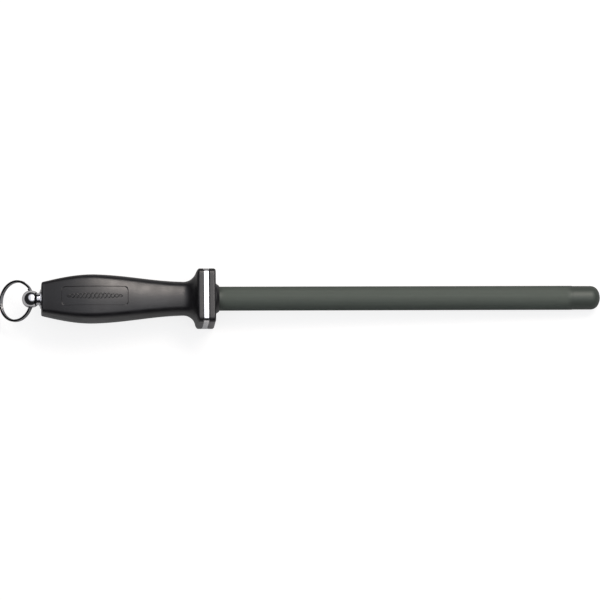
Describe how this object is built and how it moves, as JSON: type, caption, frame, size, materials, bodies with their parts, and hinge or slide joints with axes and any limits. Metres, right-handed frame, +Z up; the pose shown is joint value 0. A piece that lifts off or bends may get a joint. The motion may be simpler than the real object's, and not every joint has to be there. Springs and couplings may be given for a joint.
{
  "type": "knife sharpening steel",
  "caption": "Round fine-cut sharpening steel with a domed tip, square black guard with a bright metal plate, swelling black grip, and a swivel eye with a split hanging ring.",
  "frame": {"origin": "on the rod's axis where the rod comes out of the guard's collar", "axes": "+X along the rod to its tip, +Z up through the grip's panelled face when the steel lies flat, +Y to the left of the rod seen from the grip"},
  "size_m": [0.3998, 0.036, 0.036],
  "materials": {
    "rod_steel": "fine lengthwise cut, matt grey",
    "black_moulding": "black moulded polyamide, satin",
    "plate_metal": "polished bright",
    "eye_chrome": "chrome plated",
    "ring_steel": "nickel plated spring wire",
    "zinc_steel": "zinc plated",
    "bush_polymer": "turned black acetal, dull"
  },
  "bodies": {
    "steel": {"sharpening_rod": "rod_steel", "guard_cap": "black_moulding", "guard_plate": "plate_metal", "handle": "black_moulding", "tang_washer": "zinc_steel", "tang_nut": "zinc_steel", "swivel_bush": "bush_polymer"},
    "swivel": {"swivel_eye": "eye_chrome", "swivel_washer": "zinc_steel", "swivel_clip": "zinc_steel"},
    "ring": {"split_ring": "ring_steel"}
  },
  "joints": [
    {"name": "eye_swivel", "type": "hinge", "parent": "steel", "child": "swivel", "pos_m": [-0.1249, 0, 0], "axis": [1, 0, 0], "continuous": true},
    {"name": "ring_swing", "type": "hinge", "parent": "swivel", "child": "ring", "pos_m": [-0.1249, 0, 0], "axis": [0, 1, 0], "range_deg": [-85, 165]}
  ]
}
